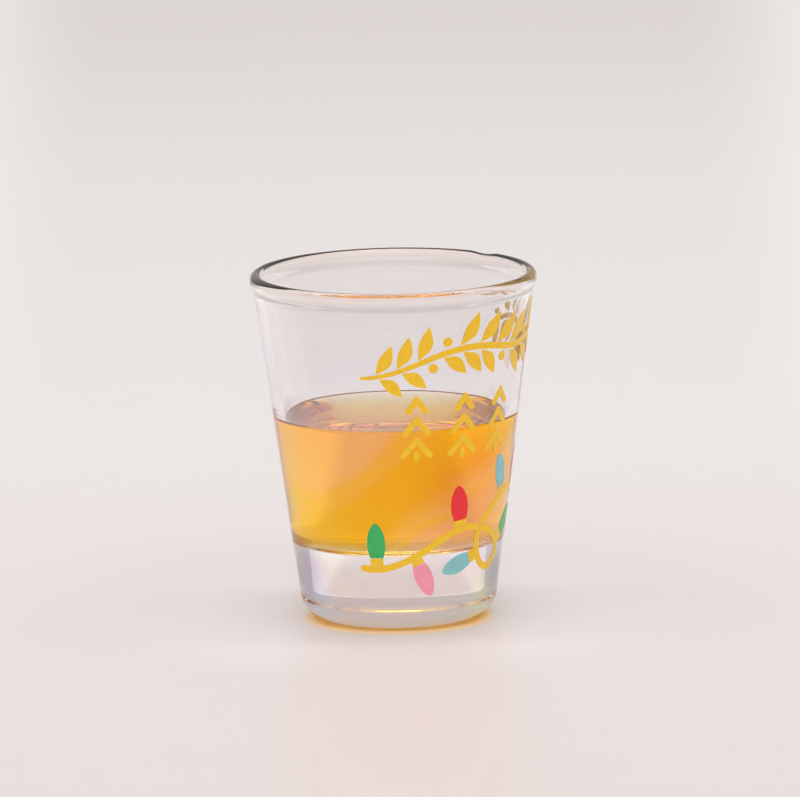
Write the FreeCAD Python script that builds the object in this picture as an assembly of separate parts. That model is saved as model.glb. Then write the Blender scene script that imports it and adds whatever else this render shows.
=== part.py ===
import FreeCAD, Part
import math, os
from FreeCAD import Vector as V, Base

os.makedirs("parts", exist_ok=True)

# Shot glass: a pressed glass tumbler with a heavy base, screen printed outside,
# poured a little over half full.  Millimetres, +Z up, the origin on the axis in
# the plane the base rests on, -Y towards the side with the artwork.

# ---------------------------------------------------------------- dimensions
HEIGHT = 60.8            # overall, resting plane to rim
RIM_R = 25.0             # outside radius of the rounded rim (50 mm across)
RIM_R_Z = 59.5           # height of the widest line of the rim
WALL_R0 = 16.54          # outside wall cone: radius where it would meet z = 0
WALL_SLOPE = 0.13405     # outside wall: radius gained per mm of height
WALL_TOP_Z = 57.3        # where the straight wall ends and the rim bead starts
FOOT_CORNER_R = 4.4      # rounded heel between the wall and the foot
FOOT_RING_R = 11.2       # inner radius of the flat ring that the glass stands on
PUNT_RISE = 0.9          # hollow under the middle of the base
FLOOR_Z = 13.4           # inside floor of the cup, so the base is 12.5 mm thick
FLOOR_CORNER_R = 3.0     # rounded inside corner
BORE_R_FLOOR = 16.35     # inside wall cone: radius at the height BORE_Z
BORE_Z = 15.4
BORE_SLOPE = 0.1463      # inside wall: radius gained per mm of height
DRINK_Z = 35.9           # level of the drink
DRINK_GAP = 0.02         # clearance drawn between the drink and the glass
INK_GAP = 0.02           # clearance drawn between the ink and the glass
INK_T = 0.10             # thickness of the fired enamel
WIRE_W = 1.2             # width of the printed light-string wire
TREE_W = 1.05            # width of the lines in the fir-tree marks

SLANT = math.atan(WALL_SLOPE)


def r_wall(z):
    return WALL_R0 + WALL_SLOPE * z


def r_bore(z):
    return BORE_R_FLOOR + BORE_SLOPE * (z - BORE_Z)


# ---------------------------------------------------------------- turned parts
def turned(edges):
    """Solid of revolution from an open profile in the XZ half-plane, both ends on the axis."""
    a = edges[0].Vertexes[0].Point
    b = edges[-1].Vertexes[-1].Point
    wire = Part.Wire(Part.__sortEdges__(edges + [Part.makeLine(b, a)]))
    s = Part.Face(wire).revolve(V(0, 0, 0), V(0, 0, 1), 360)
    s = s if s.ShapeType == "Solid" else s.Solids[0]
    if s.Volume < 0:
        s.reverse()
    return s


def P(r, z):
    return V(r, 0, z)


def line(a, b):
    return Part.makeLine(a, b)


def arc(a, m, b):
    return Part.Arc(a, m, b).toShape()


def floor_corner(r_of_z, slope, z_floor, radius):
    """Fillet between a level floor and a wall cone that leans outwards."""
    a = math.atan(slope)
    cz = z_floor + radius
    cr = r_of_z(cz) - radius / math.cos(a)
    start = P(cr, z_floor)
    end = P(cr + radius * math.cos(a), cz - radius * math.sin(a))
    mid_angle = (-math.pi / 2 - a) / 2
    mid = P(cr + radius * math.cos(mid_angle), cz + radius * math.sin(mid_angle))
    return start, mid, end


def foot_corner():
    a = math.atan(WALL_SLOPE)
    cz = FOOT_CORNER_R
    cr = r_wall(cz) - FOOT_CORNER_R / math.cos(a)
    start = P(cr, 0)
    end = P(cr + FOOT_CORNER_R * math.cos(a), cz - FOOT_CORNER_R * math.sin(a))
    mid_angle = (-math.pi / 2 - a) / 2
    mid = P(cr + FOOT_CORNER_R * math.cos(mid_angle), cz + FOOT_CORNER_R * math.sin(mid_angle))
    return start, mid, end


def glass():
    f0, f1, f2 = foot_corner()
    c0, c1, c2 = floor_corner(r_bore, BORE_SLOPE, FLOOR_Z, FLOOR_CORNER_R)
    top_out = P(r_wall(WALL_TOP_Z), WALL_TOP_Z)
    top_in = P(r_bore(WALL_TOP_Z), WALL_TOP_Z)
    rim = Part.BSplineCurve()
    rim.interpolate(
        Points=[top_out, P(RIM_R - 0.22, RIM_R_Z - 0.95), P(RIM_R, RIM_R_Z),
                P(RIM_R - 0.26, RIM_R_Z + 0.86), P(RIM_R - 1.02, HEIGHT),
                P(RIM_R - 1.78, RIM_R_Z + 0.92), P(RIM_R - 2.08, RIM_R_Z - 0.2), top_in],
        InitialTangent=V(WALL_SLOPE, 0, 1),
        FinalTangent=V(-BORE_SLOPE, 0, -1))
    punt_mid = P(FOOT_RING_R * 0.52, PUNT_RISE * 0.74)
    profile = [
        arc(P(0, PUNT_RISE), punt_mid, P(FOOT_RING_R, 0)),
        line(P(FOOT_RING_R, 0), f0),
        arc(f0, f1, f2),
        line(f2, top_out),
        rim.toShape(),
        line(top_in, c2),
        arc(c2, c1, c0),
        line(c0, P(0, FLOOR_Z)),
    ]
    return turned(profile)


def drink():
    g = DRINK_GAP
    shift = g / math.cos(math.atan(BORE_SLOPE))

    def r_in(z):
        return r_bore(z) - shift

    c0, c1, c2 = floor_corner(r_in, BORE_SLOPE, FLOOR_Z + g, FLOOR_CORNER_R - g)
    edge = P(r_in(DRINK_Z), DRINK_Z)
    return turned([
        line(P(0, FLOOR_Z + g), c0),
        arc(c0, c1, c2),
        line(c2, edge),
        line(edge, P(0, DRINK_Z)),
    ])


# ---------------------------------------------------------------- printed ink
# The artwork is laid out round the outside wall by angle and height.  Angle 0
# faces -Y and grows towards +X.  Each outline is drawn flat, in millimetres,
# then wrapped on to the wall cone and given the thickness of the enamel.
def cone(offset):
    c = Part.Cone()
    c.Center = V(0, 0, 0)
    c.Axis = V(0, 0, 1)
    c.Radius = WALL_R0 + offset / math.cos(SLANT)
    c.SemiAngle = SLANT
    return c


INNER, OUTER = cone(INK_GAP), cone(INK_GAP + INK_T)


def on_cone(surface, x, z, ref):
    return surface.value(math.radians(-90) + x / ref, z / math.cos(SLANT))


def evenly(points, step):
    """Evenly spaced points round a closed outline."""
    n = len(points)
    seg = [math.dist(points[i], points[(i + 1) % n]) for i in range(n)]
    total = sum(seg)
    m = max(10, round(total / step))
    out, i, run = [], 0, 0.0
    for k in range(m):
        s = total * k / m
        while i < n - 1 and run + seg[i] < s:
            run += seg[i]
            i += 1
        f = (s - run) / max(seg[i], 1e-9)
        a, b = points[i], points[(i + 1) % n]
        out.append((a[0] + (b[0] - a[0]) * f, a[1] + (b[1] - a[1]) * f))
    return out


def through(points):
    """Poles of the uniform closed cubic that passes through the points."""
    n = len(points)
    x = [list(p) for p in points]
    for _ in range(60):
        for i in range(n):
            for k in (0, 1):
                x[i][k] = (6 * points[i][k] - x[i - 1][k] - x[(i + 1) % n][k]) / 4
    return x


def patch(outline, ref, step=0.3):
    """Enamel patch from a closed flat outline; ref is the wall radius that it is drawn for."""
    poles = through(evenly(outline, step))
    n = len(poles)
    p2 = [Base.Vector2d(math.radians(-90) + x / ref, z / math.cos(SLANT)) for x, z in poles]
    curve = Part.Geom2d.BSplineCurve2d()
    curve.buildFromPolesMultsKnots(p2, [1] * (n + 1), [float(i) for i in range(n + 1)], True, 3)
    a, b = curve.toShape(INNER), curve.toShape(OUTER)
    faces = [Part.Face(INNER, Part.Wire([a])), Part.Face(OUTER, Part.Wire([b]))]
    shell = Part.Shell(faces + Part.makeRuledSurface(a, b).Faces)
    s = Part.Solid(shell)
    if s.Volume < 0:
        s.reverse()
    return s


def ribbon(centre, ref, a, b, width, round_a=True, round_b=True, step=0.45):
    """Enamel line along a flat centre curve between the lengths a and b; width is a function of length."""
    stops = [a + (b - a) * i / max(2, round((b - a) / step)) for i in range(max(2, round((b - a) / step)) + 1)]
    w = width(a) / 2
    if round_a:
        stops = [a, a + 0.04 * w, a + 0.15 * w, a + 0.4 * w, a + 0.75 * w] + [s for s in stops if s > a + 1.2 * w]
    w = width(b) / 2
    if round_b:
        stops = [s for s in stops if s < b - 1.2 * w] + [b - 0.75 * w, b - 0.4 * w, b - 0.15 * w, b - 0.04 * w, b]
    left, right = [], []
    for s in stops:
        u = centre.parameterAtDistance(s) if s > 0 else centre.FirstParameter
        p = centre.value(u)
        t = centre.tangent(u)[0]
        n = V(-t.y, t.x, 0)
        w = width(s) / 2
        if round_a and s < a + w:
            w *= max(0.16, math.sqrt(max(0.0, 1 - (1 - (s - a) / w) ** 2)))
        if round_b and s > b - w:
            w *= max(0.16, math.sqrt(max(0.0, 1 - (1 - (b - s) / w) ** 2)))
        left.append(p + n * w)
        right.append(p - n * w)

    corners = [[on_cone(surface, q.x, q.y, ref) for q in side]
               for surface, side in ((INNER, left), (OUTER, left), (OUTER, right), (INNER, right))]
    k = len(stops)
    knots = [float(i) for i in range(k - 2)]
    mults = [4] + [1] * (k - 4) + [4]

    def strip(p, q):
        c = Part.BSplineSurface()
        c.buildFromPolesMultsKnots([p, q], [2, 2], mults, [0.0, 1.0], knots, False, False, 1, 3)
        return c.toShape()

    def cap(i):
        c = Part.BSplineSurface()
        c.buildFromPolesMultsKnots([[corners[0][i], corners[1][i]], [corners[3][i], corners[2][i]]],
                                   [2, 2], [2, 2], [0.0, 1.0], [0.0, 1.0], False, False, 1, 1)
        return c.toShape()

    faces = [strip(corners[i], corners[(i + 1) % 4]) for i in range(4)] + [cap(0), cap(-1)]
    shell = Part.Shell(faces)
    shell.sewShape()
    shell = shell if shell.ShapeType == "Shell" else shell.Shells[0]
    s = Part.Solid(shell)
    if s.Volume < 0:
        s.reverse()
    return s


def flat_curve(points, ref):
    """Smooth flat curve through (angle, height) points."""
    c = Part.BSplineCurve()
    c.interpolate(Points=[V(math.radians(t) * ref, z, 0) for t, z in points])
    return c


def length_near(curve, angle, z, ref):
    """Length along a flat curve at the point nearest to an angle and height."""
    return curve.length(curve.FirstParameter, curve.parameter(V(math.radians(angle) * ref, z, 0)))


# light-string wire: rises from the left, makes one overhand loop and runs on
# round the side
WIRE_REF = 18.9
WIRE = [(-20.9, 11.75), (-16.2, 11.45), (-11.7, 11.4), (-3.5, 11.85), (3.5, 12.65), (10.5, 13.75), (17.5, 15.15),
        (24.6, 16.55), (32.1, 17.6), (38.6, 18), (46.0, 17.8), (54.9, 16.9), (62.6, 15.3), (65.9, 13.4),
        (63.6, 11.3), (57.4, 10.15), (51.6, 11), (47.8, 13.1), (46.6, 15.6), (48.4, 17.9),
        (52.9, 19.5), (58.8, 21.05), (65.2, 22.5), (73.4, 23.3), (82.0, 23), (92.0, 21.6), (102.0, 19.6),
        (112.0, 18.1), (122.0, 17.9), (131.0, 19.2)]
wire = flat_curve(WIRE, WIRE_REF)
WIRE_LEN = wire.length()
# the strand that closes the loop stops at each side of the strand it crosses
cross_in = length_near(wire, 47.35, 17.04, WIRE_REF)
cross_out = length_near(wire, 49.3, 18.45, WIRE_REF)


def wire_width(s):
    return WIRE_W


def wire_print():
    return [ribbon(wire, WIRE_REF, 0.0, cross_in, wire_width, True, False),
            ribbon(wire, WIRE_REF, cross_out, WIRE_LEN, wire_width, False, True)]


# bulbs: (colour, angle and height of the base, angle and height of the tip, widest)
BULBS = [
    ("green", (-11.6, 13.45), (-11.7, 19.75), 3.25),
    ("red", (34.4, 19.55), (32.2, 25.75), 3.45),
    ("pink", (11.3, 12.05), (18.6, 6.4), 3.1),
    ("aqua", (41.7, 12.45), (24.9, 10.4), 3.15),
    ("aqua", (65.4, 24.15), (59.6, 30.1), 3.15),
    ("green", (70.6, 15.7), (86.6, 19.6), 3.15),
    ("pink", (86.0, 24.3), (88.0, 30.4), 3.15),
    ("red", (97.6, 18.8), (94.4, 13), 3.2),
    ("aqua", (109.0, 20.1), (111.0, 26.2), 3.15),
    ("green", (120.6, 16.2), (118.4, 10.1), 3.2),
]
# half width along a bulb, base to tip, as a share of the widest
BULB_SHAPE = [(0.0, 0.70), (0.06, 0.79), (0.16, 0.90), (0.27, 0.98), (0.37, 1.0), (0.48, 0.985), (0.59, 0.93),
              (0.70, 0.82), (0.80, 0.67), (0.88, 0.50), (0.94, 0.345), (0.98, 0.18), (1.0, 0.0)]


def bulb(base, tip, wide):
    ref = r_wall((base[1] + tip[1]) / 2)
    bx, by = math.radians(base[0]) * ref, base[1]
    tx, ty = math.radians(tip[0]) * ref, tip[1]
    length = math.hypot(tx - bx, ty - by)
    ax, ay = (tx - bx) / length, (ty - by) / length
    right = [(bx + ax * length * t + ay * wide / 2 * w, by + ay * length * t - ax * wide / 2 * w) for t, w in BULB_SHAPE]
    left = [(bx + ax * length * t - ay * wide / 2 * w, by + ay * length * t + ax * wide / 2 * w) for t, w in BULB_SHAPE]
    return patch(right + left[-2::-1], ref)


def socket(base, tip, wide):
    """Gold socket between the base of a bulb and the nearest edge of the wire."""
    ref = WIRE_REF
    bx, by = math.radians(base[0]) * ref, base[1]
    tx, ty = math.radians(tip[0]) * ref, tip[1]
    length = math.hypot(tx - bx, ty - by)
    ax, ay = (tx - bx) / length, (ty - by) / length
    px, py = ay, -ax
    half = wide * 0.36
    gap = 0.06
    top = [(bx - ax * gap + px * half * k, by - ay * gap + py * half * k) for k in (1, 0.5, 0, -0.5, -1)]
    foot = []
    for x, y in top:
        # walk back from the bulb until the wire's edge is met
        d = 0.0
        while d < 3.0:
            q = V(x - ax * d, y - ay * d, 0)
            u = wire.parameter(q)
            if (q - wire.value(u)).Length < WIRE_W / 2 + gap:
                break
            d += 0.02
        foot.append((x - ax * d, y - ay * d))
    return patch(top + foot[::-1], ref, 0.2)


# gold sprig that runs round the upper wall: a tapering stem, leaves in turn on
# each side and round berries
SPRIG_REF = 23.2
STEM = [(-15.5, 45.8), (-6.0, 46.2), (6.0, 47.6), (20.0, 49.6), (34.0, 50.5), (48.0, 50.1), (62.0, 49.4),
        (76.0, 49.9), (90.0, 50.8), (104.0, 51), (118.0, 49.9), (129.0, 48.1)]
stem = flat_curve(STEM, SPRIG_REF)
STEM_LEN = stem.length()


def stem_width(s):
    f = s / STEM_LEN
    return 0.55 + 0.65 * math.sin(math.pi * min(1.0, max(0.0, f))) ** 0.7


def leaf(s, side, length, wide, lean):
    """Leaf beside the stem at the length s; lean is its angle to the stem in degrees."""
    u = stem.parameterAtDistance(s)
    p, t = stem.value(u), stem.tangent(u)[0]
    n = V(-t.y, t.x, 0) * side
    a = math.radians(lean)
    d = t * math.cos(a) + n * math.sin(a)
    q = V(-d.y, d.x, 0) * side
    root = p + n * (stem_width(s) / 2 + 0.12) + d * 0.1
    ribs = [(0.0, 0.10), (0.06, 0.24), (0.16, 0.50), (0.30, 0.84), (0.45, 1.0), (0.60, 0.93), (0.74, 0.70),
            (0.86, 0.42), (0.95, 0.18), (1.0, 0.0)]
    bend = 0.07 * length

    def at(f, w):
        c = root + d * (length * f) + q * (bend * math.sin(math.pi * f) * -1.0)
        return c + q * (wide / 2 * w)

    one = [at(f, w) for f, w in ribs]
    two = [at(f, -w) for f, w in ribs[:-1]]
    return patch([(v.x, v.y) for v in one + two[::-1]], SPRIG_REF)


def berry(s, side, away, r):
    u = stem.parameterAtDistance(s)
    p, t = stem.value(u), stem.tangent(u)[0]
    c = p + V(-t.y, t.x, 0) * side * away
    return patch([(c.x + r * math.cos(k * math.pi / 18), c.y + r * math.sin(k * math.pi / 18)) for k in range(36)],
                 SPRIG_REF, 0.25)


def sprig_print():
    out = [ribbon(stem, SPRIG_REF, 0.0, STEM_LEN, stem_width)]
    pitch = STEM_LEN / 15
    for i in range(14):
        s = pitch * (i + 0.75)
        big = 0.86 + 0.14 * math.sin(math.pi * s / STEM_LEN)
        if i % 5 == 3:
            out.append(berry(s + 0.42 * pitch, 1, 1.85, 0.85))
        else:
            out.append(leaf(s, 1, 6.5 * big, 2.6 * big, 52))
        if i % 4 == 2:
            out.append(berry(s + 0.5 * pitch, -1, 1.8, 0.85))
        else:
            out.append(leaf(s + 0.12 * pitch, -1, 5.6 * big, 2.5 * big, 50))
    return out


# three slim fir trees in line between the sprig and the light string
TREES = [9.6, 33.0, 55.0]
TREE_TIERS = [(42.6, 1.5, 2.0), (39.0, 2.0, 2.4), (35.3, 2.45, 2.7)]   # apex height, half width, drop
TREE_TRUNK = (30.8, 32.7)                                       # foot and top of the trunk


def round_end(c, d, r, steps=6):
    """Points of a half circle round the end c of a line that runs in the direction d."""
    a0 = math.atan2(d[1], d[0])
    return [(c[0] + r * math.cos(a0 - math.pi / 2 + math.pi * k / steps),
             c[1] + r * math.sin(a0 - math.pi / 2 + math.pi * k / steps)) for k in range(steps + 1)]


def chevron(ref, angle, apex, half, drop):
    x0 = math.radians(angle) * ref
    w = TREE_W / 2
    L = math.hypot(half, drop)
    d = (half / L, -drop / L)
    up = w / (half / L)          # mitre above and below the apex
    cz = apex - up
    e1 = (x0 + half, cz - drop)
    e2 = (x0 - half, cz - drop)
    pts = [(x0, cz - up)]
    right = round_end(e1, d, w)
    left = round_end(e2, (-d[0], d[1]), w)
    pts += right + [(x0 + 0.16, apex - 0.1), (x0 - 0.16, apex - 0.1)] + left
    return patch(pts, ref, 0.25)


def trunk(ref, angle):
    x0 = math.radians(angle) * ref
    w = TREE_W / 2
    lo, hi = TREE_TRUNK
    return patch(round_end((x0, hi - w), (0, 1), w) + round_end((x0, lo + w), (0, -1), w), ref, 0.25)


def tree_print():
    ref = r_wall(36.9)
    out = []
    for a in TREES:
        for apex, half, drop in TREE_TIERS:
            out.append(chevron(ref, a, apex, half, drop))
        out.append(trunk(ref, a))
    return out


# ---------------------------------------------------------------- write
def save(name, solids):
    shape = solids[0] if len(solids) == 1 else Part.makeCompound(solids)
    shape.exportStep("parts/%s.step" % name)
    print("%-22s solids %2d valid %s box %s" % (name, len(solids), all(s.isValid() for s in solids),
          [round(v, 2) for v in (shape.BoundBox.XMin, shape.BoundBox.XMax, shape.BoundBox.YMin, shape.BoundBox.YMax,
                                 shape.BoundBox.ZMin, shape.BoundBox.ZMax)]))


save("glass_body", [glass()])
save("drink", [drink()])
save("gold_wire_print", wire_print())
save("gold_socket_prints", [socket(b, t, w) for _, b, t, w in BULBS])
for colour in ("green", "red", "pink", "aqua"):
    save(colour + "_bulb_prints", [bulb(b, t, w) for c, b, t, w in BULBS if c == colour])
save("gold_sprig_print", sprig_print())
save("gold_tree_prints", tree_print())
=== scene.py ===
import math
import bmesh
import bpy
from mathutils import Vector, Matrix, noise

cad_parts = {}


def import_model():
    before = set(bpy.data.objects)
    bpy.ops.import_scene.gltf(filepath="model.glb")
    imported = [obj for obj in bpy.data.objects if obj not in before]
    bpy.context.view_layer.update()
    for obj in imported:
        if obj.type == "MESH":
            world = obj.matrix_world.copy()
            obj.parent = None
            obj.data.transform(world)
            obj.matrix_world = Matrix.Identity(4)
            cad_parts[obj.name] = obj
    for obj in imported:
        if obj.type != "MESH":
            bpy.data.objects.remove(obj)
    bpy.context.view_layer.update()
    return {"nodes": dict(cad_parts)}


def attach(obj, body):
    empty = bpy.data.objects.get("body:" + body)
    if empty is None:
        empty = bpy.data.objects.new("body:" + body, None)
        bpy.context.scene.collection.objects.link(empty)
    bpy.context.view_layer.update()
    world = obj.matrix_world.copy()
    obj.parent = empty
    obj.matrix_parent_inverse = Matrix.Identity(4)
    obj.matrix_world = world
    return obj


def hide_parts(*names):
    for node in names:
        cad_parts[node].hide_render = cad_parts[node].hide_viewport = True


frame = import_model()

MM = 0.001
scene = bpy.context.scene

# ---------------------------------------------------------------- dimensions, mm (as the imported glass)
HEIGHT, RIM_R, RIM_R_Z = 60.8, 25.0, 59.5
WALL_R0, WALL_SLOPE, WALL_TOP_Z = 16.54, 0.13405, 57.3
FOOT_CORNER_R, FOOT_RING_R, PUNT_RISE = 4.4, 11.2, 0.9
FLOOR_Z, FLOOR_CORNER_R = 13.4, 3.0
BORE_R_FLOOR, BORE_Z, BORE_SLOPE = 16.35, 15.4, 0.1463
DRINK_Z = 35.75          # level of the drink away from the wall
MENISCUS = 0.35          # how far it climbs the wall
SKIN = 0.035             # the glass stands this far into the ink, so that the two are in optical contact
WET = 0.10               # the drink stands this far into the glass, for the same reason


def r_wall(z):
    return WALL_R0 + WALL_SLOPE * z


def r_bore(z):
    return BORE_R_FLOOR + BORE_SLOPE * (z - BORE_Z)


# ---------------------------------------------------------------- camera
def camera():
    cam = bpy.data.objects.new("camera", bpy.data.cameras.new("camera"))
    scene.collection.objects.link(cam)
    scene.camera = cam
    dist, elev = 2200.0, math.radians(10.30)
    target = Vector((0.81, 0.0, 38.19))
    cam.location = (target + Vector((0, -dist * math.cos(elev), dist * math.sin(elev)))) * MM
    look = (target * MM - cam.location).normalized()
    rot = look.to_track_quat("-Z", "Y").to_matrix()
    rot = rot @ Matrix.Rotation(math.radians(-1.035), 3, "Z")
    cam.rotation_euler = rot.to_euler()
    cam.data.sensor_width = 36.0
    cam.data.lens = 568.73
    cam.data.clip_start, cam.data.clip_end = 0.05, 100.0
    return cam


camera()


# ---------------------------------------------------------------- mesh helpers
def arc_points(c, r, a0, a1, n):
    return [(c[0] + r * math.cos(math.radians(a0 + (a1 - a0) * i / n)),
             c[1] + r * math.sin(math.radians(a0 + (a1 - a0) * i / n))) for i in range(n + 1)]


def catmull(points, n):
    out = []
    for i in range(1, len(points) - 2):
        p0, p1, p2, p3 = points[i - 1:i + 3]
        for k in range(n):
            t = k / n
            out.append(tuple(0.5 * ((2 * p1[j]) + (-p0[j] + p2[j]) * t
                                    + (2 * p0[j] - 5 * p1[j] + 4 * p2[j] - p3[j]) * t * t
                                    + (-p0[j] + 3 * p1[j] - 3 * p2[j] + p3[j]) * t ** 3) for j in (0, 1)))
    out.append(points[-2])
    return out


def line_points(a, b, n):
    return [(a[0] + (b[0] - a[0]) * i / n, a[1] + (b[1] - a[1]) * i / n) for i in range(n + 1)]


def tidy(points, least=0.02):
    out = [points[0]]
    for p in points[1:]:
        if math.dist(p, out[-1]) > least:
            out.append(p)
    return out


def revolve(name, profile, segments, shape=None):
    """Closed mesh turned about Z from a profile of (r, z) in mm that starts and ends on the axis."""
    bm = bmesh.new()
    rings = []
    for k, (r, z) in enumerate(profile):
        if r < 1e-6:
            rings.append([bm.verts.new(Vector((0, 0, z)) * MM)])
            continue
        ring = []
        for i in range(segments):
            a = 2 * math.pi * i / segments
            rr, zz = (r, z) if shape is None else shape(r, z, a, k)
            ring.append(bm.verts.new(Vector((rr * math.cos(a), rr * math.sin(a), zz)) * MM))
        rings.append(ring)
    for a, b in zip(rings, rings[1:]):
        for i in range(segments):
            j = (i + 1) % segments
            if len(a) == 1:
                bm.faces.new((a[0], b[j], b[i]))
            elif len(b) == 1:
                bm.faces.new((a[i], a[j], b[0]))
            else:
                bm.faces.new((a[i], a[j], b[j], b[i]))
    bmesh.ops.recalc_face_normals(bm, faces=bm.faces)
    if bm.calc_volume(signed=True) < 0:
        bmesh.ops.reverse_faces(bm, faces=bm.faces)
    mesh = bpy.data.meshes.new(name)
    bm.to_mesh(mesh)
    bm.free()
    for p in mesh.polygons:
        p.use_smooth = True
    obj = bpy.data.objects.new(name, mesh)
    scene.collection.objects.link(obj)
    return obj


# ---------------------------------------------------------------- glass
def glass_profile():
    t = math.atan(WALL_SLOPE)
    s = SKIN / math.cos(t)
    rw = lambda z: r_wall(z) + s
    pts = []
    # hollow under the base, a soft step to the standing ring
    pts += [(0.0, PUNT_RISE)] + [(FOOT_RING_R * f, PUNT_RISE * (1 - f ** 2.4)) for f in (
        0.08, 0.16, 0.24, 0.32, 0.4, 0.48, 0.56, 0.64, 0.72, 0.8, 0.87, 0.93, 0.97)]
    pts += [(FOOT_RING_R + 0.1, 0.012), (FOOT_RING_R + 0.3, 0.0), (FOOT_RING_R + 0.7, 0.0)]
    cr = rw(FOOT_CORNER_R) - FOOT_CORNER_R / math.cos(t)
    pts += arc_points((cr, FOOT_CORNER_R), FOOT_CORNER_R, -90, -math.degrees(t), 22)
    pts += line_points((rw(4.4), 4.4), (rw(WALL_TOP_Z), WALL_TOP_Z), 60)
    # rounded rim
    rim = [(rw(56.0), 56.0), (rw(WALL_TOP_Z), WALL_TOP_Z), (RIM_R - 0.22, RIM_R_Z - 0.95), (RIM_R, RIM_R_Z),
           (RIM_R - 0.26, RIM_R_Z + 0.86), (RIM_R - 1.02, HEIGHT), (RIM_R - 1.78, RIM_R_Z + 0.92),
           (RIM_R - 2.08, RIM_R_Z - 0.2), (r_bore(WALL_TOP_Z), WALL_TOP_Z), (r_bore(56.0), 56.0)]
    pts += catmull(rim, 8)
    ti = math.atan(BORE_SLOPE)
    cz = FLOOR_Z + FLOOR_CORNER_R
    ccr = r_bore(cz) - FLOOR_CORNER_R / math.cos(ti)
    end = (ccr + FLOOR_CORNER_R * math.cos(ti), cz - FLOOR_CORNER_R * math.sin(ti))
    pts += line_points((r_bore(56.6), 56.6), end, 60)
    pts += arc_points((ccr, cz), FLOOR_CORNER_R, -math.degrees(ti), -90, 22)
    pts += [(ccr * f, FLOOR_Z) for f in (0.97, 0.92, 0.84, 0.74, 0.62, 0.5, 0.38, 0.26, 0.16, 0.08)]
    pts += [(0.0, FLOOR_Z)]
    return tidy(pts)


FLAW_AT, FLAW_HALF = math.radians(48.0), 3.4      # small mark in the rim at the back right, half length in mm


def glass_shape(r, z, a, k):
    """Pressed glass is not quite even: a slow ripple inside the bore, and a small scooped mark in the rim."""
    if z > FLOOR_Z + 2.0 and r < (r_bore(z) + r_wall(z)) / 2 and z < 56.5:
        fade = min(1.0, (z - FLOOR_Z - 2.0) / 6.0, (56.5 - z) / 3.0)
        r += fade * (0.030 * math.sin(5 * a + 1.3) + 0.018 * math.sin(11 * a + 0.4 + 0.05 * z))
    if z > RIM_R_Z - 1.6:
        u = ((a - FLAW_AT + math.pi) % (2 * math.pi) - math.pi) * RIM_R / FLAW_HALF
        if abs(u) < 1.0:
            z -= 0.34 * (1 - u * u) ** 2 * min(1.0, (z - RIM_R_Z + 1.6) / 2.2)
    return r, z


def drink_profile():
    """Bottom centre, up the wetted wall, then in across the surface."""
    ti = math.atan(BORE_SLOPE)
    w = WET
    ri = lambda z: r_bore(z) + w / math.cos(ti)
    zf = FLOOR_Z - w
    rad = FLOOR_CORNER_R + w
    cz = zf + rad
    ccr = ri(cz) - rad / math.cos(ti)
    end = (ccr + rad * math.cos(ti), cz - rad * math.sin(ti))
    pts = [(0.0, zf)] + [(ccr * f, zf) for f in (0.08, 0.16, 0.26, 0.38, 0.5, 0.62, 0.74, 0.84, 0.92, 0.97)]
    pts += arc_points((ccr, cz), rad, -90, -math.degrees(ti), 22)
    top = DRINK_Z + MENISCUS
    pts += line_points(end, (ri(top), top), 34)[1:]
    # meniscus: exponential climb with the capillary length of a watery drink
    R = ri(top)
    for d in (0.05, 0.12, 0.25, 0.4, 0.6, 0.85, 1.15, 1.5, 1.9, 2.4, 3.0, 3.8, 4.8, 6.0, 8.0, 10.5, 13.0, 16.0):
        pts.append((R - d, DRINK_Z + MENISCUS * math.exp(-d / 0.9)))
    pts.append((0.0, DRINK_Z))
    return tidy(pts)


glass = revolve("tumbler_glass", glass_profile(), 224, glass_shape)
drink = revolve("amber_pour", drink_profile(), 224)
for o, node, slot in ((glass, "glass_body", "clear_glass"), (drink, "drink", "amber_drink")):
    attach(o, "root")
    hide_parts(node)


# ---------------------------------------------------------------- materials
def new_material(name):
    m = bpy.data.materials.new(name)
    m.use_nodes = True
    nt = m.node_tree
    p = nt.nodes["Principled BSDF"]
    return m, nt, p


def nodes_of(nt):
    """Short makers for the node graphs below."""
    new, link = nt.nodes.new, nt.links.new

    def put(socket, v):
        if hasattr(v, "is_linked"):
            link(v, socket)
        else:
            socket.default_value = v

    def calc(op, a, b=0.0):
        m = new("ShaderNodeMath"); m.operation = op
        put(m.inputs[0], a); put(m.inputs[1], b)
        return m.outputs["Value"]

    def dot(v, axis):
        m = new("ShaderNodeVectorMath"); m.operation = "DOT_PRODUCT"
        link(v, m.inputs[0]); m.inputs[1].default_value = axis
        return m.outputs["Value"]

    def near(v, point, inner, outer):
        """1 within inner of a point, 0 beyond outer, smooth between; metres."""
        m = new("ShaderNodeVectorMath"); m.operation = "DISTANCE"
        link(v, m.inputs[0]); m.inputs[1].default_value = point
        return ramp(m.outputs["Value"], outer, inner, 0.0, 1.0)

    def ramp(v, lo, hi, a, b):
        m = new("ShaderNodeMapRange"); m.interpolation_type = "SMOOTHSTEP"
        put(m.inputs["Value"], v)
        for k, x in (("From Min", lo), ("From Max", hi), ("To Min", a), ("To Max", b)):
            m.inputs[k].default_value = x
        return m.outputs["Result"]

    def noise_of(v, scale, detail=2.0, rough=0.5):
        m = new("ShaderNodeTexNoise")
        link(v, m.inputs["Vector"])
        m.inputs["Scale"].default_value = scale
        m.inputs["Detail"].default_value = detail
        m.inputs["Roughness"].default_value = rough
        return m.outputs["Fac"]

    def blend(a, b, f, mode="MIX"):
        m = new("ShaderNodeMix"); m.data_type = "RGBA"; m.blend_type = mode
        put(m.inputs["Factor"], f)
        put([s for s in m.inputs if s.name == "A" and s.type == "RGBA"][0], a)
        put([s for s in m.inputs if s.name == "B" and s.type == "RGBA"][0], b)
        return [s for s in m.outputs if s.type == "RGBA"][0]

    return new, link, calc, dot, near, ramp, noise_of, blend


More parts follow.
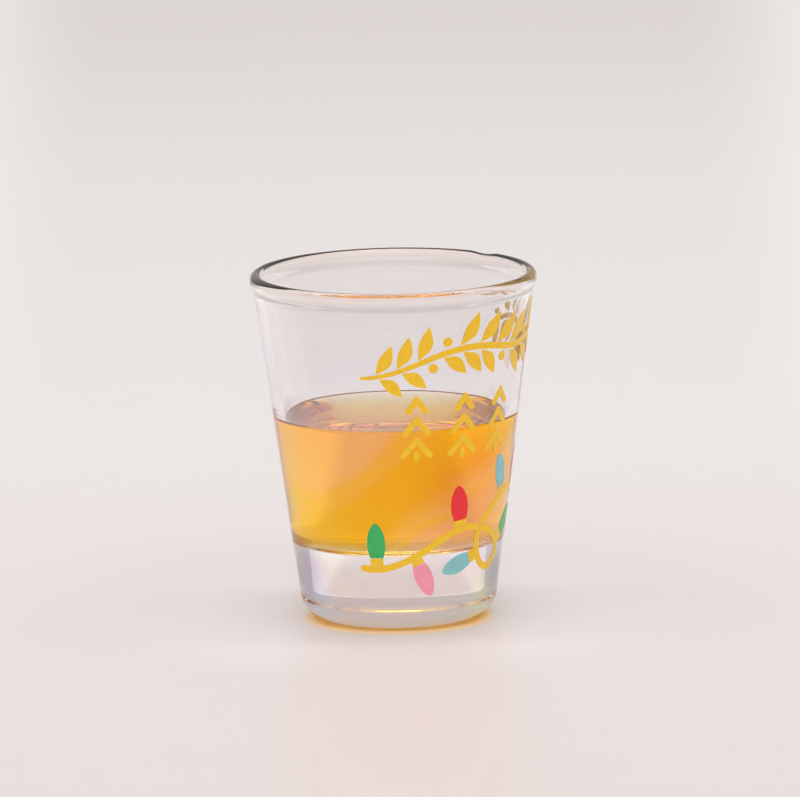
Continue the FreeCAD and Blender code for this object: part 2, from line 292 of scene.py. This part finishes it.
# film thickness, nm, upper left, lower right and far lower right, and where along the diagonal it changes
FILM_D = (180.0, 312.0, 364.0)
FILM_S = ((-26.0, -14.0), (0.0, 8.0))
FILM_IOR = 1.84
BAND_S = ((-32.0, -23.0), (-18.0, -9.0))    # open, glare-free band between the first two


def lustre_glass_painted_light(name):
    """Clear soda glass with a pearly metal-oxide film fired on the outside.  The film is thin at the upper
    left and thickens towards the lower right.  Its colour holds painted light and shade: greyer above the drink,
    a painted amber glow at the front of the base, and patches partly the lustre's tints, partly painted light."""
    m, nt, p = new_material(name)
    new, link, calc, dot, near, ramp, noise_of, blend = nodes_of(nt)
    obj = new("ShaderNodeTexCoord").outputs["Object"]
    p.inputs["Roughness"].default_value = 0.0
    p.inputs["IOR"].default_value = 1.5
    p.inputs["Transmission Weight"].default_value = 1.0
    drift = noise_of(obj, 42.0, 1.5)
    s = calc("ADD", dot(obj, (610.0, 0.0, -790.0)), calc("MULTIPLY", calc("SUBTRACT", drift, 0.5), 16.0))
    film = calc("ADD", ramp(s, *FILM_S[0], FILM_D[0], FILM_D[1]), ramp(s, *FILM_S[1], 0.0, FILM_D[2] - FILM_D[1]))
    band = calc("MULTIPLY", ramp(s, *BAND_S[0], 0.0, 1.0), ramp(s, *BAND_S[1], 1.0, 0.0))
    film = calc("ADD", film, calc("MULTIPLY", band, calc("SUBTRACT", 92.0, film)))
    link(ramp(band, 0.0, 1.0, FILM_IOR, 1.30), p.inputs["Thin Film IOR"])
    # none on the rim, none on the back of the glass
    film = calc("MULTIPLY", film, ramp(dot(obj, (0.0, 0.0, 1.0)), 0.0490, 0.0560, 1.0, 0.0))
    film = calc("MULTIPLY", film, ramp(dot(obj, (0.0, 1.0, 0.0)), 0.0000, 0.0080, 1.0, 0.0))
    link(film, p.inputs["Thin Film Thickness"])
    z = dot(obj, (0.0, 0.0, 1.0))
    front = ramp(dot(obj, (0.0, 1.0, 0.0)), -0.010, 0.004, 1.0, 0.0)
    # painted shade: the glass is coloured greyer above the drink's level
    c = blend((1.0, 0.985, 0.982, 1), (0.925, 0.900, 0.900, 1), ramp(z, 0.0350, 0.0400, 0.0, 1.0))
    # painted light: the front of the base is coloured rosy, standing in for the drink's amber glow seen through it
    c = blend(c, (0.82, 0.64, 0.58, 1), calc("MULTIPLY", front, ramp(z, 0.0100, 0.0150, 1.0, 0.0)))     # painted amber glow on the front of the base
    c = blend(c, (0.96, 0.89, 0.85, 1), ramp(z, 0.0565, 0.0590, 0.0, 1.0))                               # rim
    # colour patches, partly the lustre's own tints and partly painted light and shade: the drink's colour and the
    # surroundings as they look refracted through the glass
    for tint, centre, inner, outer in (
            ((0.860, 0.460, 1.000, 1), (0.0142, -0.0140, 0.0245), 0.004, 0.0160),     # salmon, right
            ((0.820, 0.760, 0.400, 1), (0.0150, -0.0080, 0.0040), 0.002, 0.0075),     # straw, lower right
            ((0.330, 0.400, 0.310, 1), (0.0170, -0.0055, 0.0088), 0.001, 0.0065),     # grey-green, right edge
            ((0.660, 0.660, 0.820, 1), (-0.0140, -0.0100, 0.0040), 0.001, 0.0065),    # mauve, lower left
            ((0.600, 0.480, 0.700, 1), (-0.0160, -0.0080, 0.0092), 0.002, 0.0075)):   # violet, left edge
        c = blend(c, tint, near(obj, centre, inner, outer))
    link(c, p.inputs["Base Color"])
    return m


def inner_glass(name, tint):
    m, nt, p = new_material(name)
    p.inputs["Base Color"].default_value = (0.99, 0.985, 0.985, 1)
    p.inputs["Roughness"].default_value = 0.0
    p.inputs["IOR"].default_value = 1.5
    p.inputs["Transmission Weight"].default_value = 1.0
    p.inputs["Specular Tint"].default_value = (tint, tint, tint, 1)
    return m


def amber(name):
    m, nt, p = new_material(name)
    p.inputs["Base Color"].default_value = (1.0, 1.0, 1.0, 1)
    p.inputs["Roughness"].default_value = 0.0
    p.inputs["IOR"].default_value = 1.36
    p.inputs["Transmission Weight"].default_value = 1.0
    p.inputs["Specular Tint"].default_value = (0.15, 0.15, 0.15, 1)
    # painted light: a faint orange emission makes the drink glow a little brighter
    p.inputs["Emission Color"].default_value = (1.0, 0.50, 0.010, 1)
    p.inputs["Emission Strength"].default_value = 0.026
    v = nt.nodes.new("ShaderNodeVolumeAbsorption")
    v.inputs["Color"].default_value = (1.0, 0.842, 0.02, 1)
    v.inputs["Density"].default_value = 130.0
    nt.links.new(v.outputs["Volume"], nt.nodes["Material Output"].inputs["Volume"])
    return m


def enamel(name, colour, dark, rough=0.32, seed=0.0):
    """Fired screen-print enamel: dense flat colour, faint mottling and a fine orange-peel gloss."""
    m, nt, p = new_material(name)
    n = nt.nodes
    tc = n.new("ShaderNodeTexCoord")
    mp = n.new("ShaderNodeMapping")
    mp.inputs["Location"].default_value = (seed, seed * 0.7, seed * 1.3)
    nt.links.new(tc.outputs["Object"], mp.inputs["Vector"])
    mott = n.new("ShaderNodeTexNoise")
    mott.inputs["Scale"].default_value = 700.0
    mott.inputs["Detail"].default_value = 4.0
    nt.links.new(mp.outputs["Vector"], mott.inputs["Vector"])
    ramp = n.new("ShaderNodeValToRGB")
    ramp.color_ramp.elements[0].position = 0.30
    ramp.color_ramp.elements[0].color = (*dark, 1)
    ramp.color_ramp.elements[1].position = 0.62
    ramp.color_ramp.elements[1].color = (*colour, 1)
    nt.links.new(mott.outputs["Fac"], ramp.inputs["Fac"])
    nt.links.new(ramp.outputs["Color"], p.inputs["Base Color"])
    peel = n.new("ShaderNodeTexNoise")
    peel.inputs["Scale"].default_value = 2600.0
    peel.inputs["Detail"].default_value = 2.0
    nt.links.new(mp.outputs["Vector"], peel.inputs["Vector"])
    bump = n.new("ShaderNodeBump")
    bump.inputs["Strength"].default_value = 0.25
    bump.inputs["Distance"].default_value = 0.00002
    nt.links.new(peel.outputs["Fac"], bump.inputs["Height"])
    nt.links.new(bump.outputs["Normal"], p.inputs["Normal"])
    p.inputs["Roughness"].default_value = rough
    p.inputs["IOR"].default_value = 1.42
    return m


def assign(obj, mat):
    if not obj.data.materials:
        obj.data.materials.append(mat)
    for s in obj.material_slots:
        s.material = mat


for m in (lustre_glass_painted_light("lustre_glass_painted_light"), inner_glass("inner_glass", 1.0), inner_glass("wetted_glass", 0.08)):
    glass.data.materials.append(m)
for p in glass.data.polygons:
    r = math.hypot(p.center.x, p.center.y) / MM
    z = p.center.z / MM
    inside = z > FLOOR_Z - 0.2 and r < (r_bore(z) + r_wall(z)) / 2 and z < RIM_R_Z - 0.2
    p.material_index = 0 if not inside else (1 if z > DRINK_Z + MENISCUS - 0.1 else 2)
assign(drink, amber("amber_drink"))

GOLD = enamel("gold_enamel", (0.97, 0.60, 0.022), (0.92, 0.55, 0.018), seed=1.0)
for node in ("gold_wire_print", "gold_socket_prints", "gold_sprig_print", "gold_tree_prints"):
    assign(frame["nodes"][node], GOLD)
for node, c, d in (("green_bulb_prints", (0.050, 0.49, 0.135), (0.042, 0.45, 0.12)),
                   ("red_bulb_prints", (0.92, 0.028, 0.038), (0.85, 0.024, 0.032)),
                   ("pink_bulb_prints", (0.99, 0.36, 0.47), (0.95, 0.33, 0.43)),
                   ("aqua_bulb_prints", (0.27, 0.60, 0.62), (0.25, 0.56, 0.58))):
    assign(frame["nodes"][node], enamel(node[:-6], c, d, seed=len(node) * 1.7))


# ---------------------------------------------------------------- floor, light
PAINTED_SIDE_LIGHT = (0.87, 0.85, 0.84, 1)   # painted light: the paper out to the sides coloured brighter
LIFT, FRINGE = (0.110, 0.095, 0.100, 1), (0.11, 0.06, 0.01, 1)


def floor():
    bm = bmesh.new()
    bmesh.ops.create_grid(bm, x_segments=1, y_segments=1, size=6.0)
    mesh = bpy.data.meshes.new("floor")
    bm.to_mesh(mesh)
    bm.free()
    o = bpy.data.objects.new("floor", mesh)
    scene.collection.objects.link(o)
    m, nt, p = new_material("pale_floor")
    new, link, calc, dot, near, ramp, noise_of, blend = nodes_of(nt)
    obj = new("ShaderNodeTexCoord").outputs["Object"]
    y = dot(obj, (0.0, 1.0, 0.0))
    # painted shade: the paper is coloured darker near the front and far behind than in the middle, for the fall of
    # the light across it
    c = blend((0.666, 0.604, 0.591, 1), (0.690, 0.656, 0.660, 1), ramp(y, -0.16, 0.22, 0.0, 1.0))
    c = blend(c, (0.640, 0.598, 0.584, 1), ramp(y, 0.42, 0.76, 0.0, 1.0))
    # painted light: the paper to the sides and behind the glass is coloured brighter, standing in for lamp light
    # falling there
    out = ramp(calc("ABSOLUTE", dot(obj, (1.0, 0.0, 0.0))), 0.064, 0.120, 0.0, 1.0)
    out = calc("MULTIPLY", out, ramp(y, 0.10, 0.24, 0.0, 1.0))
    c = blend(c, PAINTED_SIDE_LIGHT, out)
    grain = noise_of(obj, 55.0, 4.0)
    c = blend(c, (0.62, 0.60, 0.59, 1), ramp(grain, 0.3, 0.9, 0.0, 0.06))
    # light thrown out of the foot: a warm fringe close against it, a faint lift beside it
    def away(point):
        flat = new("ShaderNodeVectorMath"); flat.operation = "MULTIPLY"
        flat.inputs[1].default_value = (1.0, 1.0, 0.0)
        link(obj, flat.inputs[0])
        d = new("ShaderNodeVectorMath"); d.operation = "DISTANCE"
        link(flat.outputs["Vector"], d.inputs[0]); d.inputs[1].default_value = point
        return d.outputs["Value"]

    d = away((0.0, -0.002, 0.0))
    fringe = calc("MULTIPLY", ramp(d, 0.0080, 0.0120, 0.0, 1.0), ramp(d, 0.0145, 0.0173, 1.0, 0.0))
    c = blend(c, (0.97, 0.70, 0.42, 1), fringe)
    d = away((0.0, 0.0, 0.0))
    lift = calc("MULTIPLY", ramp(d, 0.0120, 0.0170, 0.0, 1.0), ramp(d, 0.020, 0.062, 1.0, 0.0))
    lift = calc("MULTIPLY", lift, ramp(calc("ABSOLUTE", dot(obj, (1.0, 0.0, 0.0))), 0.006, 0.022, 0.2, 1.0))
    glow = blend(blend((0.0, 0.0, 0.0, 1), LIFT, lift), FRINGE, fringe)
    link(glow, p.inputs["Emission Color"])
    p.inputs["Emission Strength"].default_value = 1.0
    link(c, p.inputs["Base Color"])
    p.inputs["Roughness"].default_value = 0.38
    p.inputs["IOR"].default_value = 1.42
    o.data.materials.append(m)
    return o


floor()


def world():
    w = bpy.data.worlds.new("world")
    scene.world = w
    w.use_nodes = True
    nt = w.node_tree
    bg = nt.nodes["Background"]
    new, link = nt.nodes.new, nt.links.new
    tc = new("ShaderNodeTexCoord")

    def lobe(axis, lo, hi, a, b):
        """a to b, smoothly, as the direction turns towards an axis."""
        d = new("ShaderNodeVectorMath"); d.operation = "DOT_PRODUCT"
        d.inputs[1].default_value = axis
        link(tc.outputs["Generated"], d.inputs[0])
        r = new("ShaderNodeMapRange"); r.interpolation_type = "SMOOTHSTEP"
        r.inputs["From Min"].default_value, r.inputs["From Max"].default_value = lo, hi
        r.inputs["To Min"].default_value, r.inputs["To Max"].default_value = a, b
        link(d.outputs["Value"], r.inputs["Value"])
        return r.outputs["Result"]

    def calc(op, a, b):
        m = new("ShaderNodeMath"); m.operation = op
        for k, v in enumerate((a, b)):
            if isinstance(v, float):
                m.inputs[k].default_value = v
            else:
                link(v, m.inputs[k])
        return m.outputs["Value"]

    # a light tent: one high soft light in front, an even white cloth, dim at its two open sides and
    # low down in front, where the camera looks in
    high = lobe(HIGH_AXIS, HIGH_EDGE, HIGH_CORE, 0.0, HIGH)
    low = lobe((0.0, -0.98, 0.20), 0.30, 0.90, 0.0, LOW)
    left = lobe((-1.0, 0.0, 0.0), 0.62, 0.97, 1.0, SIDE)
    right = lobe((1.0, 0.0, 0.0), 0.62, 0.97, 1.0, SIDE)
    level = calc("MULTIPLY", calc("ADD", calc("ADD", high, low), BASE), calc("MULTIPLY", left, right))
    bg.inputs["Color"].default_value = (1.0, 0.98, 0.97, 1)
    link(level, bg.inputs["Strength"])


HIGH, LOW, BASE, SIDE = 1.35, -0.10, 0.58, 0.84
HIGH_AXIS, HIGH_EDGE, HIGH_CORE = (0.0, -0.38, 0.925), 0.55, 0.94
world()


def area(name, loc, target, size, power, colour=(1, 1, 1), size_y=None):
    l = bpy.data.lights.new(name, "AREA")
    l.energy = power
    l.color = colour
    l.size = size
    if size_y:
        l.shape = "RECTANGLE"
        l.size_y = size_y
    o = bpy.data.objects.new(name, l)
    scene.collection.objects.link(o)
    o.location = loc
    o.rotation_euler = (Vector(target) - Vector(loc)).to_track_quat("-Z", "Y").to_euler()
    return o


area("overhead", (0.0, 0.02, 0.90), (0, 0, 0.02), 1.4, 2.5, size_y=0.04)

scene.view_settings.view_transform = "Standard"
scene.view_settings.look = "None"
scene.cycles.max_bounces = 24
scene.cycles.transmission_bounces = 20
scene.cycles.glossy_bounces = 8
scene.cycles.transparent_max_bounces = 16
scene.cycles.caustics_reflective = True
scene.cycles.caustics_refractive = True
